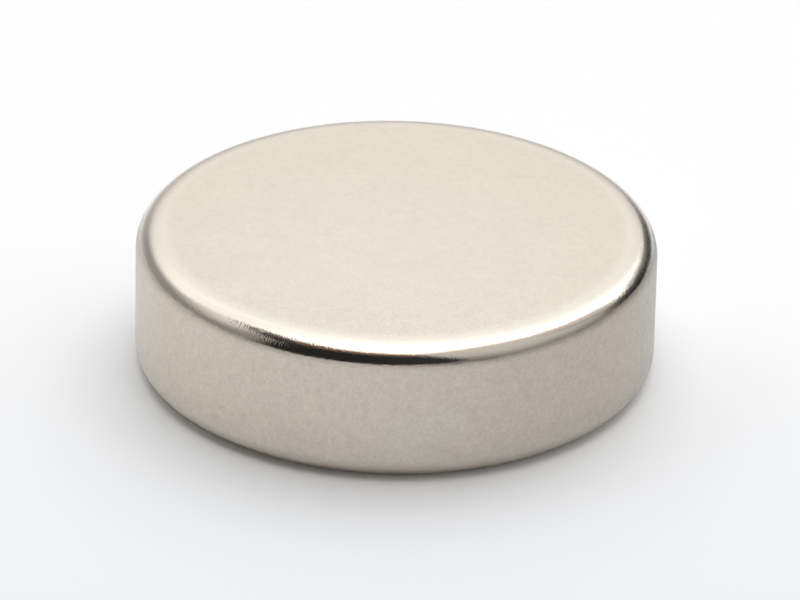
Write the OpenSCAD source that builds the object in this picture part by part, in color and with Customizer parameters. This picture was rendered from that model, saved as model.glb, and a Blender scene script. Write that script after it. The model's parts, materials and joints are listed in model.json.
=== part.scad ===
// Disc magnet: one sintered neodymium disc, ground flat on both faces, tumbled
// round along both rims and nickel plated all over.
// Millimetres. +Z is the disc's axis, and the origin is the centre of its lower face.

/* [Disc] */
// Diameter of the side wall
diameter = 25; // [10:0.5:60]
// Thickness from the lower face to the upper face
thickness = 7; // [4:0.5:20]

/* [Rims] */
// Radius of the round along both rims
rim_round = 1.1; // [0.2:0.05:1.6]

/* [Smoothness] */
// Facets round a full circle
circle_facets = 180; // [60:12:360]

/* [Hidden] */

nickel = [0.78, 0.74, 0.67];
face_radius = diameter / 2 - rim_round;
wall_height = thickness - 2 * rim_round;

// Half of the disc's section: the core between the two flat faces, the band behind
// the side wall, and a circle at each end of the band that leaves the rim's round.
module half_section() {
    square([face_radius, thickness]);
    translate([face_radius, rim_round]) {
        square([rim_round, wall_height]);
        for (rim_z = [0, wall_height])
            translate([0, rim_z])
                circle(r = rim_round, $fn = circle_facets);
    }
}

// The whole magnet, turned in one piece about its axis.
module magnet_disc() {
    color(nickel)
        rotate_extrude($fn = circle_facets)
            half_section();
}

magnet_disc();
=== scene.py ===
import json
import math

import bmesh
import bpy
from mathutils import Matrix, Vector


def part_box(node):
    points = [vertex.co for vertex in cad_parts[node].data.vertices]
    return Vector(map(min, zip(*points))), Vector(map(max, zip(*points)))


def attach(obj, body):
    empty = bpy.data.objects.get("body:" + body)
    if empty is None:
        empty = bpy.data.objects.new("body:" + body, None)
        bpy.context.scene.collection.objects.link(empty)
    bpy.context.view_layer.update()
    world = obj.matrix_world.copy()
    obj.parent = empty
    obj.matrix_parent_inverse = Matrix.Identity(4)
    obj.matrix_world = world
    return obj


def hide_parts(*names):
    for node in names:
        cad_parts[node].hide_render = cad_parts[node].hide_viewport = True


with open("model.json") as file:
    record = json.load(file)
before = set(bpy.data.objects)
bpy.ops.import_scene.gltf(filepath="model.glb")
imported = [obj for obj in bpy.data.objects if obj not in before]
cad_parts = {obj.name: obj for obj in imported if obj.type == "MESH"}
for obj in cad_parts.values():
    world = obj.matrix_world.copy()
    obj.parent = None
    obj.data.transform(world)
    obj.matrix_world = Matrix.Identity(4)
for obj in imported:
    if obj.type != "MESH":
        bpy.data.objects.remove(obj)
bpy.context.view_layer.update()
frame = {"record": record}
mm = 0.001
micron = 0.000001

# Sizes that everything below is worked out from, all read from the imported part.
discLow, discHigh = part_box("magnet_disc")
discRadius = (discHigh.x - discLow.x) / 2
discHeight = discHigh.z - discLow.z
rimMount = next(mount for mount in frame["record"]["mounts"] if mount["name"] == "rim")
wallHeight = rimMount["dims"]["length_mm"] * mm
rimRound = (discHeight - wallHeight) / 2
faceRadius = discRadius - rimRound
print(f"frame: disc {2 * discRadius / mm:.2f} x {discHeight / mm:.2f} mm, "
      f"rim round {rimRound / mm:.2f} mm")


# A socket in a sum: arithmetic on it adds Math nodes to its graph.
class Wire:
    def __init__(self, graph, socket):
        self.graph = graph
        self.socket = socket

    def __add__(self, other):
        return self.graph.maths("ADD", self, other)

    def __radd__(self, other):
        return self.graph.maths("ADD", other, self)

    def __sub__(self, other):
        return self.graph.maths("SUBTRACT", self, other)

    def __rsub__(self, other):
        return self.graph.maths("SUBTRACT", other, self)

    def __mul__(self, other):
        return self.graph.maths("MULTIPLY", self, other)

    def __rmul__(self, other):
        return self.graph.maths("MULTIPLY", other, self)

    def __truediv__(self, other):
        return self.graph.maths("DIVIDE", self, other)

    def __pow__(self, other):
        return self.graph.maths("POWER", self, other)


# The nodes of one material or world, which start out empty.
class Graph:
    def __init__(self, tree):
        self.tree = tree
        tree.nodes.clear()

    # Every node comes from here: its type, its settings, then its sockets' values or links.
    def add(self, kind, settings=None, inputs=None, output=0):
        node = self.tree.nodes.new(kind)
        for name, value in (settings or {}).items():
            setattr(node, name, value)
        for name, value in (inputs or {}).items():
            if isinstance(value, Wire):
                self.tree.links.new(value.socket, node.inputs[name])
            else:
                node.inputs[name].default_value = value
        return Wire(self, node.outputs[output]) if node.outputs else node

    def maths(self, operation, first, second=0.0):
        return self.add("ShaderNodeMath", {"operation": operation}, {0: first, 1: second})

    # A colour or vector made stronger or weaker by a number.
    def scaled(self, vector, amount):
        inputs = {0: vector, "Scale": amount}
        return self.add("ShaderNodeVectorMath", {"operation": "SCALE"}, inputs)

    # From bottom to top, smoothly, while the value goes from low to high.
    def ramp(self, value, low, high, bottom=0.0, top=1.0):
        settings = {"interpolation_type": "SMOOTHSTEP"}
        inputs = {"Value": value, "From Min": low, "From Max": high}
        inputs.update({"To Min": bottom, "To Max": top})
        return self.add("ShaderNodeMapRange", settings, inputs)

    # Two colours mixed: the node's colour sockets are 6 and 7, and 2 on its other side.
    def blend(self, factor, first, second):
        inputs = {0: factor, 6: first, 7: second}
        return self.add("ShaderNodeMix", {"data_type": "RGBA"}, inputs, output=2)

    def place(self):
        return self.add("ShaderNodeTexCoord", output="Object")

    def axes(self, place):
        split = self.add("ShaderNodeSeparateXYZ", None, {0: place})
        return [Wire(self, socket) for socket in split.socket.node.outputs]

    # Noise around 0, seldom past -1 or 1, with blotches about `size` metres across. The
    # node's own noise keeps near the middle of 0 to 1.
    def noise(self, place, size, detail=2.0, fineness=0.5, stretch=(1, 1, 1)):
        scale = tuple(1 / (size * factor) for factor in stretch)
        moved = self.add("ShaderNodeMapping", None, {"Vector": place, "Scale": scale})
        inputs = {"Vector": moved, "Scale": 1.0, "Detail": detail, "Roughness": fineness}
        return (self.add("ShaderNodeTexNoise", {"noise_dimensions": "3D"}, inputs) - 0.5) * 4


def newMaterial(name):
    material = bpy.data.materials.new(name)
    material.use_nodes = True
    return material, Graph(material.node_tree)


cameraSetup = {
    "lens": 360.0,
    "sensor": 36.0,
    "elevation": 27.71,  # degrees above the table, from straight in front
    "roll": 1.19,
    "distance": 30.70 * discRadius,
    "aim": (0.0171 * discRadius, -0.0578 * discRadius, discHeight / 2),
}


def addCamera(setup):
    up = math.radians(setup["elevation"])
    roll = math.radians(setup["roll"])
    backward = Vector((0, -math.cos(up), math.sin(up)))
    level = Vector((1, 0, 0))
    upright = Vector((0, math.sin(up), math.cos(up)))
    across = math.cos(roll) * level + math.sin(roll) * upright
    above = math.cos(roll) * upright - math.sin(roll) * level
    data = bpy.data.cameras.new("studioCamera")
    data.lens = setup["lens"]
    data.sensor_width = setup["sensor"]
    camera = bpy.data.objects.new("studioCamera", data)
    bpy.context.scene.collection.objects.link(camera)
    turn = Matrix((across, above, backward)).transposed().to_4x4()
    place = Vector(setup["aim"]) + backward * setup["distance"]
    camera.matrix_world = Matrix.Translation(place) @ turn
    bpy.context.scene.camera = camera


addCamera(cameraSetup)
print("camera placed")


# A white cloth tent that only lights and mirrors. Angles are in degrees, azimuths are
# measured from straight behind the disc, positive to the right, and 180 is the doorway.
# A panel reaches "half" to each side of its centre and from low to high. It fades out
# over "soft" at its sides and over "edge" above and below. Its level may rise to "head"
# between two elevations. "slope" and "sill" tilt its upper and lower edges, "arch" bends
# the upper one down at both ends, "lean" tips the panel to one side as it rises, and
# "hem" is how much of the warm light along the upper edge it gets.
tent = {
    "radius": 2.0,
    "segments": 96,
    "rings": 48,
    "back": {"low": 4, "high": 50, "foot": 0.70, "head": 1.56},
    "roof": {"low": 50, "high": 64, "level": 1.8, "onPaper": 0.65},
    "hem": {"depth": 15, "glow": 0.32, "colour": (1.0, 0.46, 0.21, 1)},
    "leanFrom": 28,  # panels stand upright up to this elevation
    "panels": {  # each one hangs in front of those named before it
        "rightLamp": {
            "centre": 50, "half": 25, "soft": 10, "low": 20, "high": 66, "edge": 3,
            "level": 2.0},
        "leftRoof": {
            "centre": -60, "half": 45, "soft": 18, "low": 42, "high": 62, "edge": 6,
            "level": 1.36},
        "leftBack": {
            "centre": -50, "half": 30, "soft": 14, "low": 5, "high": 31.5, "edge": 8,
            "level": 0.38, "slope": -0.4},
        "leftWall": {
            "centre": -93, "half": 35, "soft": 10, "low": 9, "high": 51.5, "edge": 3,
            "level": 0.33, "head": 0.92, "between": (20, 48)},
        "doorJamb": {
            "centre": -125, "half": 27, "soft": 14, "low": 8.5, "high": 52, "edge": 3,
            "level": 0.33},
        "lintel": {
            "centre": -118, "half": 58, "soft": 16, "low": 46.5, "high": 67.5, "edge": 2,
            "level": 0.03, "sill": 0.2, "arch": 0.0018, "hem": 0.5},
        "rightWall": {
            "centre": 112.5, "half": 54.5, "soft": 3, "low": -5, "high": 69.5, "edge": 2.5,
            "level": 0.30, "head": 0.77, "between": (4, 42), "slope": 0.14, "arch": 0.0067, "hem": 0.3},
        "rightCorner": {
            "centre": 150, "half": 16, "soft": 12, "low": -5, "high": 66.3, "edge": 4,
            "level": 0.22, "head": 0.72, "between": (5, 50), "slope": 0.15},
        "doorway": {
            "centre": 206.2, "half": 34.2, "soft": 3.5, "low": 9.5, "high": 67.9, "edge": 3,
            "level": 0.024, "slope": 0.04, "arch": 0.0025, "hem": 1.0},
        "doorEdge": {
            "centre": 165, "half": 15.5, "soft": 4.5, "low": 12.5, "high": 65.2, "edge": 3,
            "level": 0.036, "lean": 0.38, "sill": -0.25, "slope": 0.13, "arch": 0.0018, "hem": 1.0},
        "wallTop": {
            "centre": 80, "half": 14, "soft": 7, "low": 31.5, "high": 42.5, "edge": 3.5,
            "level": 0.51, "sill": 0.75, "slope": 0.75, "hem": 0.15},
        "rightPost": {
            "centre": 71.5, "half": 5.5, "soft": 5, "low": 6, "high": 25, "edge": 5,
            "level": 0.26, "hem": 0.45},
        "gapShade": {
            "centre": 34, "half": 18, "soft": 9, "low": 1.5, "high": 27.2, "edge": 4,
            "level": 0.075, "head": 0.36, "between": (9, 24), "sill": 0.25, "slope": 0.35, "arch": 0.016},
        "rightGap": {
            "centre": 56, "half": 15.5, "soft": 6, "low": 4, "high": 26.2, "edge": 2.5,
            "level": 0.03, "head": 0.17, "between": (12, 25), "slope": -0.06},
    },
}


def tentMaterial(setup):
    material, graph = newMaterial("tentCloth")
    east, north, height = graph.axes(graph.place())
    elevation = graph.maths("ARCSINE", height / setup["radius"]) * math.degrees(1)
    azimuth = graph.maths("ARCTAN2", east, north) * math.degrees(1)
    back = setup["back"]
    roof = setup["roof"]
    hem = setup["hem"]
    level = graph.ramp(elevation, back["low"], back["high"], back["foot"], back["head"])
    # the roof lights the paper more than it shows in the metal
    extra = graph.add("ShaderNodeLightPath", output="Is Diffuse Ray") * roof["onPaper"]
    overhead = graph.ramp(elevation, roof["low"], roof["high"])
    level = level + overhead * (extra + roof["level"] - back["head"])
    warmth = 0
    for panel in setup["panels"].values():
        # where a point lies beside the panel's middle, and above its two edges
        lean = graph.maths("MAXIMUM", elevation - setup["leanFrom"], 0) * panel.get("lean", 0)
        turned = azimuth - panel["centre"] - lean
        aside = graph.add("ShaderNodeMath", {"operation": "WRAP"}, {0: turned, 1: 180, 2: -180})
        overSill = elevation - panel["low"] - aside * panel.get("sill", 0)
        overTop = elevation - panel["high"] - aside * panel.get("slope", 0)
        overTop = overTop + aside * aside * panel.get("arch", 0)
        nearSide = panel["half"] - panel["soft"]
        farSide = panel["half"] + panel["soft"]
        inside = 1 - graph.ramp(graph.maths("ABSOLUTE", aside), nearSide, farSide)
        inside = inside * graph.ramp(overSill, -panel["edge"], panel["edge"])
        inside = inside * (1 - graph.ramp(overTop, -panel["edge"], panel["edge"]))
        own = panel["level"]
        if "head" in panel:
            own = graph.ramp(elevation, *panel["between"], own, panel["head"])
        # light that comes through the cloth along the upper hem is warm
        hemShare = graph.ramp(overTop, -hem["depth"], 0, 0, panel.get("hem", 0))
        level = level + (own + hemShare * hem["glow"] - level) * inside
        warmth = warmth + (hemShare - warmth) * inside
    colour = graph.blend(warmth, (1, 1, 1, 1), hem["colour"])
    glow = graph.add("ShaderNodeEmission", None, {"Color": colour, "Strength": level})
    graph.add("ShaderNodeOutputMaterial", None, {"Surface": glow})
    material.cycles.emission_sampling = "NONE"  # it is all round, so plain bounces find it
    return material


def addTent(setup):
    bpy.ops.mesh.primitive_uv_sphere_add(
        segments=setup["segments"], ring_count=setup["rings"], radius=setup["radius"])
    cloth = bpy.context.object
    cloth.name = "lightTent"
    cloth.data.materials.append(tentMaterial(setup))
    cloth.visible_camera = False


table = {
    "radius": 1.9,
    "corners": 128,
    "front": (0.872, 0.897, 0.922, 1),  # the paper, painted darker and cooler towards the front: painted shade
    "back": (0.975, 0.982, 0.992, 1),
    "fadeFrom": -30 * mm,
    "fadeTo": 20 * mm,
    "near": (0.965, 0.985, 1.000, 1),  # painted light: the paper right beside the disc, made lighter and bluer in its contact shadow
    "nearFrom": 13 * mm,
    "nearTo": 15 * mm,
    "far": (0.80, 0.80, 0.80, 1),  # beyond the paper, where the table is greyer
    "farFrom": 72 * mm,
    "farTo": 120 * mm,
    "farPaintedShades": [  # with painted shade, greyest towards these azimuths, over the cosines in "spread"
        {"azimuth": 125, "spread": (0.3, 1.0), "colour": (0.50, 0.50, 0.51, 1)},
        {"azimuth": 0, "spread": (0.72, 0.92), "colour": (0.60, 0.60, 0.60, 1)},
    ],
}


def tableMaterial(setup):
    material, graph = newMaterial("whitePaper")
    across, depth, _ = graph.axes(graph.place())
    distance = (across * across + depth * depth) ** 0.5
    backShare = graph.ramp(depth, setup["fadeFrom"], setup["fadeTo"])
    paperShare = graph.ramp(distance, setup["nearFrom"], setup["nearTo"])
    farShare = graph.ramp(distance, setup["farFrom"], setup["farTo"])
    # painted shade: the paper darker and cooler towards the front
    colour = graph.blend(backShare, setup["front"], setup["back"])
    # painted light: lighter, bluer paper right beside the disc
    colour = graph.blend(paperShare, setup["near"], colour)
    far = setup["far"]
    # painted shade on the far table, deepest towards each azimuth
    for shade in setup["farPaintedShades"]:
        turn = math.radians(shade["azimuth"])
        reach = across * math.sin(turn) + depth * math.cos(turn)
        cosine = reach / graph.maths("MAXIMUM", distance, mm)  # which never divides by 0
        far = graph.blend(graph.ramp(cosine, *shade["spread"]), far, shade["colour"])
    colour = graph.blend(farShare, colour, far)
    matt = graph.add("ShaderNodeBsdfDiffuse", None, {"Color": colour})
    graph.add("ShaderNodeOutputMaterial", None, {"Surface": matt})
    return material


def addTable(setup):
    bpy.ops.mesh.primitive_circle_add(
        vertices=setup["corners"], radius=setup["radius"], fill_type="NGON")
    paper = bpy.context.object
    paper.name = "tablePaper"
    paper.data.materials.append(tableMaterial(setup))


def addWorld():
    world = bpy.data.worlds.new("whiteRoom")
    bpy.context.scene.world = world
    world.use_nodes = True
    graph = Graph(world.node_tree)
    white = graph.add("ShaderNodeBackground", None, {"Color": (1, 1, 1, 1), "Strength": 1.0})
    graph.add("ShaderNodeOutputWorld", None, {"Surface": white})


bpy.ops.object.select_all(action="DESELECT")
addTent(tent)
addTable(table)
addWorld()
bpy.context.scene.view_settings.view_transform = "Standard"
print("studio built")


discShape = {
    "segments": 448,
    "faceRings": 26,
    "wallRings": 26,
    "roundSteps": 20,
    "easeRings": 9,
    "easeWidth": 1.7 * mm,  # the outer part of each flat face that tumbling has eased
    "easeAngle": 4.0,  # how far the face leans out, in degrees, where the rim's round starts
    "easePower": 4,  # how late in that width most of the lean comes
    "waveSize": 1.5 * mm,
    "waveHeight": 5 * micron,
}


def rimProfile(shape):
    # The bent part of the upper half section, from the flat of the face to the side wall.
    lean = math.radians(shape["easeAngle"])
    power = shape["easePower"]
    drop = shape["easeWidth"] * math.tan(lean) / power
    points = []
    for ring in range(shape["easeRings"]):
        part = ring / shape["easeRings"]
        inward = shape["easeWidth"] * (1 - part)
        points.append((faceRadius - inward, discHeight - drop * part ** power))
    for step in range(shape["roundSteps"] + 1):
        turn = lean + (math.pi / 2 - lean) * step / shape["roundSteps"]
        outward = (math.sin(turn) - math.sin(lean)) / (1 - math.sin(lean))
        upward = (rimRound - drop) * math.cos(turn) / math.cos(lean)
        points.append((faceRadius + rimRound * outward, discHeight - rimRound + upward))
    return points


def pickEdges(piece, wanted):
    bpy.ops.mesh.select_mode(type="EDGE")
    bpy.ops.mesh.select_all(action="DESELECT")
    shape = bmesh.from_edit_mesh(piece.data)
    for edge in shape.edges:
        if wanted(edge):
            edge.select_set(True)
    shape.select_flush_mode()
    bmesh.update_edit_mesh(piece.data)


def applyModifier(piece, kind, settings):
    modifier = piece.modifiers.new(kind.lower(), kind)
    for name, value in settings.items():
        setattr(modifier, name, value)
    bpy.ops.object.modifier_apply(modifier=modifier.name)


def drawSection(disc, shape):
    # The upper half is drawn from its middle point outwards, given its rings, and mirrored.
    points = [(0, discHeight)] + rimProfile(shape) + [(discRadius, discHeight / 2)]
    for (across, above), (nextAcross, nextAbove) in zip(points, points[1:]):
        step = (nextAcross - across, 0, nextAbove - above)
        bpy.ops.mesh.extrude_region_move(TRANSFORM_OT_translate={"value": step})
    pickEdges(disc, lambda edge: sum(vert.co.x for vert in edge.verts) < faceRadius)
    bpy.ops.mesh.subdivide(number_cuts=shape["faceRings"] - 1)
    pickEdges(disc, lambda edge: min(vert.co.x for vert in edge.verts) > discRadius - micron)
    bpy.ops.mesh.subdivide(number_cuts=shape["wallRings"] // 2 - 1)
    bpy.ops.mesh.select_all(action="SELECT")
    bpy.ops.mesh.duplicate()
    bpy.ops.transform.resize(value=(1, 1, -1), center_override=(0, 0, discHeight / 2))
    bpy.ops.mesh.select_all(action="SELECT")
    bpy.ops.mesh.remove_doubles(threshold=micron)


def modelDisc(shape):
    bpy.ops.object.select_all(action="DESELECT")
    bpy.ops.mesh.primitive_plane_add(size=mm, location=(0, 0, discHeight))
    disc = bpy.context.object
    disc.name = "platedDisc"
    bpy.ops.object.transform_apply(location=True, rotation=False, scale=False)
    bpy.ops.object.mode_set(mode="EDIT")
    bpy.ops.mesh.merge(type="CENTER")  # the plane shrinks to the section's first point
    drawSection(disc, shape)
    bpy.ops.object.mode_set(mode="OBJECT")
    applyModifier(disc, "SCREW", {
        "axis": "Z",
        "angle": 2 * math.pi,
        "steps": shape["segments"],
        "render_steps": shape["segments"],
        "use_merge_vertices": True,
        "merge_threshold": micron,
    })
    bpy.ops.object.mode_set(mode="EDIT")
    bpy.ops.mesh.select_all(action="SELECT")
    bpy.ops.mesh.normals_make_consistent(inside=False)
    bpy.ops.object.mode_set(mode="OBJECT")
    # grinding and plating leave every surface very slightly wavy, always inside the true size
    waves = bpy.data.textures.new("platingWaves", "CLOUDS")
    waves.noise_scale = shape["waveSize"]
    waves.noise_depth = 1
    applyModifier(disc, "DISPLACE", {
        "texture": waves,
        "strength": shape["waveHeight"],
        "mid_level": 1.0,
    })
    bpy.ops.object.shade_smooth()
    return disc


disc = modelDisc(discShape)
print("disc modelled:", len(disc.data.polygons), "faces")


# Places and spans are shares of the disc's radius from its axis, positive to the right
# and to the back. Stretches run along the section: the polish's on from where the rim's
# round starts, and those of the side's satin and colour back from where the round ends.
nickel = {
    "faceColour": (0.745, 0.697, 0.620, 1),
    "shadedFaceColour": (0.722, 0.680, 0.585, 1),  # painted shade: where a face is darker and yellower, away from its unshaded place
    "unshadedPlace": (-0.10, -0.35),
    "shadeSpread": (0.2, 1.3),
    "shadeUnevenness": 0.12,  # how unevenly the painted shade comes in
    "sideColour": (0.700, 0.634, 0.542, 1),
    "coolReflectionAndPatchColour": (0.680, 0.648, 0.592, 1),  # a painted cool reflection at the side's two ends and foot, also the colour of its random cool patches
    "reflectionEnds": 0.86,
    "reflectionFoot": 0.35,
    "footHeights": (2.2 * mm, 0.6 * mm),  # the painted cool reflection at the foot comes in on the way down
    "coolPatches": 0.24,
    "patchLevels": (0.40, 0.62),  # how strong the haze is where a cool patch comes in
    "rimColour": (0.702, 0.641, 0.562, 1),
    "faceRoughness": 0.60,
    "sideRoughness": 0.46,
    "rimRoughness": 0.11,
    "roughMottle": 0.02,
    "polishStretch": (-0.7 * mm, 0.3 * mm),
    "satinStretch": (0.42 * mm, 0.10 * mm),
    "colourStretch": (1.0 * mm, 0.5 * mm),
    "ragged": 0.05 * mm,  # how unevenly the polish of the rims runs out
    "wearSlope": 0.031,  # the satin reaches further up the rim towards the two ends
    "lowerWear": 0.6,  # how much of its polish the lower rim has lost
    "lowerHeights": (0.6, 0.4),  # shares of the disc's height
    "lightness": 0.98,  # of the plating before its haze, mottle, grain and grit
    "paintedRightShade": 0.22,  # painted shade: how much darker the side is made towards the right
    "paintedRightShadeFrom": -0.2,
    "hazeSize": 4.0 * mm,
    "haze": 0.014,
    "mottleSize": 0.7 * mm,
    "sideMottle": 0.030,
    "grainSize": 0.36 * mm,
    "grainShade": 0.033,
    "sideGrain": 0.05,
    "grainHeight": 5.5 * micron,
    "gritSize": 0.13 * mm,
    "sideGrit": 0.06,
    "frontGrit": 0.065,
    "strokeSize": 0.070 * mm,
    "strokeStretch": 1.6,
    "strokeHeight": 1.5 * micron,
    "strokesFade": 0.55,  # how much weaker the strokes are on the right half
    "fadeSpan": (-0.3, 0.2),
    "scuffSize": 0.13 * mm,
    "scuffHeight": 3.0 * micron,
    "scuffSpan": (0.72, 0.90),
}


def nickelPlating(finish):
    material, graph = newMaterial("nickelPlating")
    place = graph.place()
    across, along, height = graph.axes(place)
    rightShare = across / discRadius
    backShare = along / discRadius
    radius = (across * across + along * along) ** 0.5
    outward = radius - faceRadius
    upward = graph.maths("ABSOLUTE", height - discHeight / 2) - wallHeight / 2
    # how far along the section a point lies: below 0 on a face, past wholeArc on the side
    onRound = [graph.maths("MAXIMUM", reach, 0) for reach in (outward, upward)]
    offRound = [graph.maths("MINIMUM", reach, 0) for reach in (outward, upward)]
    arc = graph.maths("ARCTAN2", *onRound) * rimRound + offRound[0] - offRound[1]
    wholeArc = rimRound * math.pi / 2
    # the same place with the section unrolled, for strokes that run across the rim
    spin = [coordinate / radius * discRadius for coordinate in (across, along)]
    unrolled = graph.add("ShaderNodeCombineXYZ", None, {"X": spin[0], "Y": spin[1], "Z": arc})

    haze = graph.noise(place, finish["hazeSize"], detail=1.5)
    mottle = graph.noise(place, finish["mottleSize"], detail=3.0)
    grain = graph.noise(place, finish["grainSize"], fineness=0.7)
    grit = graph.noise(place, finish["gritSize"], detail=1.0)
    scuffs = graph.noise(unrolled, finish["scuffSize"], detail=1.0)
    stretch = (1, 1, finish["strokeStretch"])
    strokes = graph.noise(unrolled, finish["strokeSize"], detail=0.0, stretch=stretch)

    # where the side's satin, the rim's polish and the side's colour lie
    ragged = arc + mottle * finish["ragged"]
    worn = ragged + rightShare * across * finish["wearSlope"]
    side = graph.ramp(worn, *[wholeArc - before for before in finish["satinStretch"]])
    rim = graph.ramp(ragged, *finish["polishStretch"]) * (1 - side)
    wall = graph.ramp(arc, *[wholeArc - before for before in finish["colourStretch"]])

    # the colour: painted shade, darker and yellower away from one place of a face, and a painted cool
    # reflection at the side's ends and foot, with random cool patches
    unshadedRight, unshadedBack = finish["unshadedPlace"]
    offRight = rightShare - unshadedRight
    offBack = backShare - unshadedBack
    offUnshaded = (offRight * offRight + offBack * offBack) ** 0.5
    # painted shade: the faces darker and yellower away from one place
    paintedFaceShade = graph.ramp(offUnshaded, *finish["shadeSpread"]) + haze * finish["shadeUnevenness"]
    # painted reflection: the side cooler at its two ends and its foot, plus random cool patches
    coolReflectionAndPatches = graph.ramp(graph.maths("ABSOLUTE", rightShare), finish["reflectionEnds"], 1)
    coolReflectionAndPatches = coolReflectionAndPatches + graph.ramp(height, *finish["footHeights"]) * finish["reflectionFoot"]
    coolReflectionAndPatches = coolReflectionAndPatches + graph.ramp(haze, *finish["patchLevels"]) * finish["coolPatches"]
    colour = graph.blend(paintedFaceShade, finish["faceColour"], finish["shadedFaceColour"])
    colour = graph.blend(rim, colour, finish["rimColour"])
    sideColour = graph.blend(coolReflectionAndPatches, finish["sideColour"], finish["coolReflectionAndPatchColour"])
    colour = graph.blend(wall, colour, sideColour)

    # how light each place is, as a factor on its colour
    front = 1 - graph.ramp(backShare, -1, 0)
    faceShade = grain * finish["grainShade"] + grit * front * finish["frontGrit"]
    sideShade = mottle * finish["sideMottle"] + grain * finish["sideGrain"] + grit * finish["sideGrit"]
    shade = finish["lightness"] + haze * finish["haze"]
    shade = shade + faceShade * (1 - side) + sideShade * side
    shade = shade + (1 - shade) * rim
    # painted shade: the side darker towards the right
    shade = shade - graph.ramp(rightShare, finish["paintedRightShadeFrom"], 1) * wall * finish["paintedRightShade"]

    satin = finish["faceRoughness"] + (finish["sideRoughness"] - finish["faceRoughness"]) * side
    satin = satin + mottle * finish["roughMottle"]
    lower = graph.ramp(height / discHeight, *finish["lowerHeights"])
    polish = rim * (1 - lower * finish["lowerWear"])
    roughness = satin + (finish["rimRoughness"] - satin) * polish

    # relief, in micrometres
    strokes = strokes * (1 - graph.ramp(rightShare, *finish["fadeSpan"]) * finish["strokesFade"])
    scuffs = scuffs * graph.ramp(rightShare, *finish["scuffSpan"])
    bumps = grain * (finish["grainHeight"] / micron) * (1 - rim)
    bumps = bumps + strokes * (finish["strokeHeight"] / micron) * rim
    bumps = bumps + scuffs * (finish["scuffHeight"] / micron) * rim
    relief = graph.add("ShaderNodeBump", None, {"Height": bumps, "Distance": micron, "Strength": 1.0})
    shader = graph.add("ShaderNodeBsdfPrincipled", None, {
        "Base Color": graph.scaled(colour, shade),
        "Metallic": 1.0,
        "Roughness": roughness,
        "Normal": relief,
    })
    graph.add("ShaderNodeOutputMaterial", None, {"Surface": shader})
    return material


disc.data.materials.append(nickelPlating(nickel))
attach(disc, "root")
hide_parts("magnet_disc")
print("nickel plating applied")
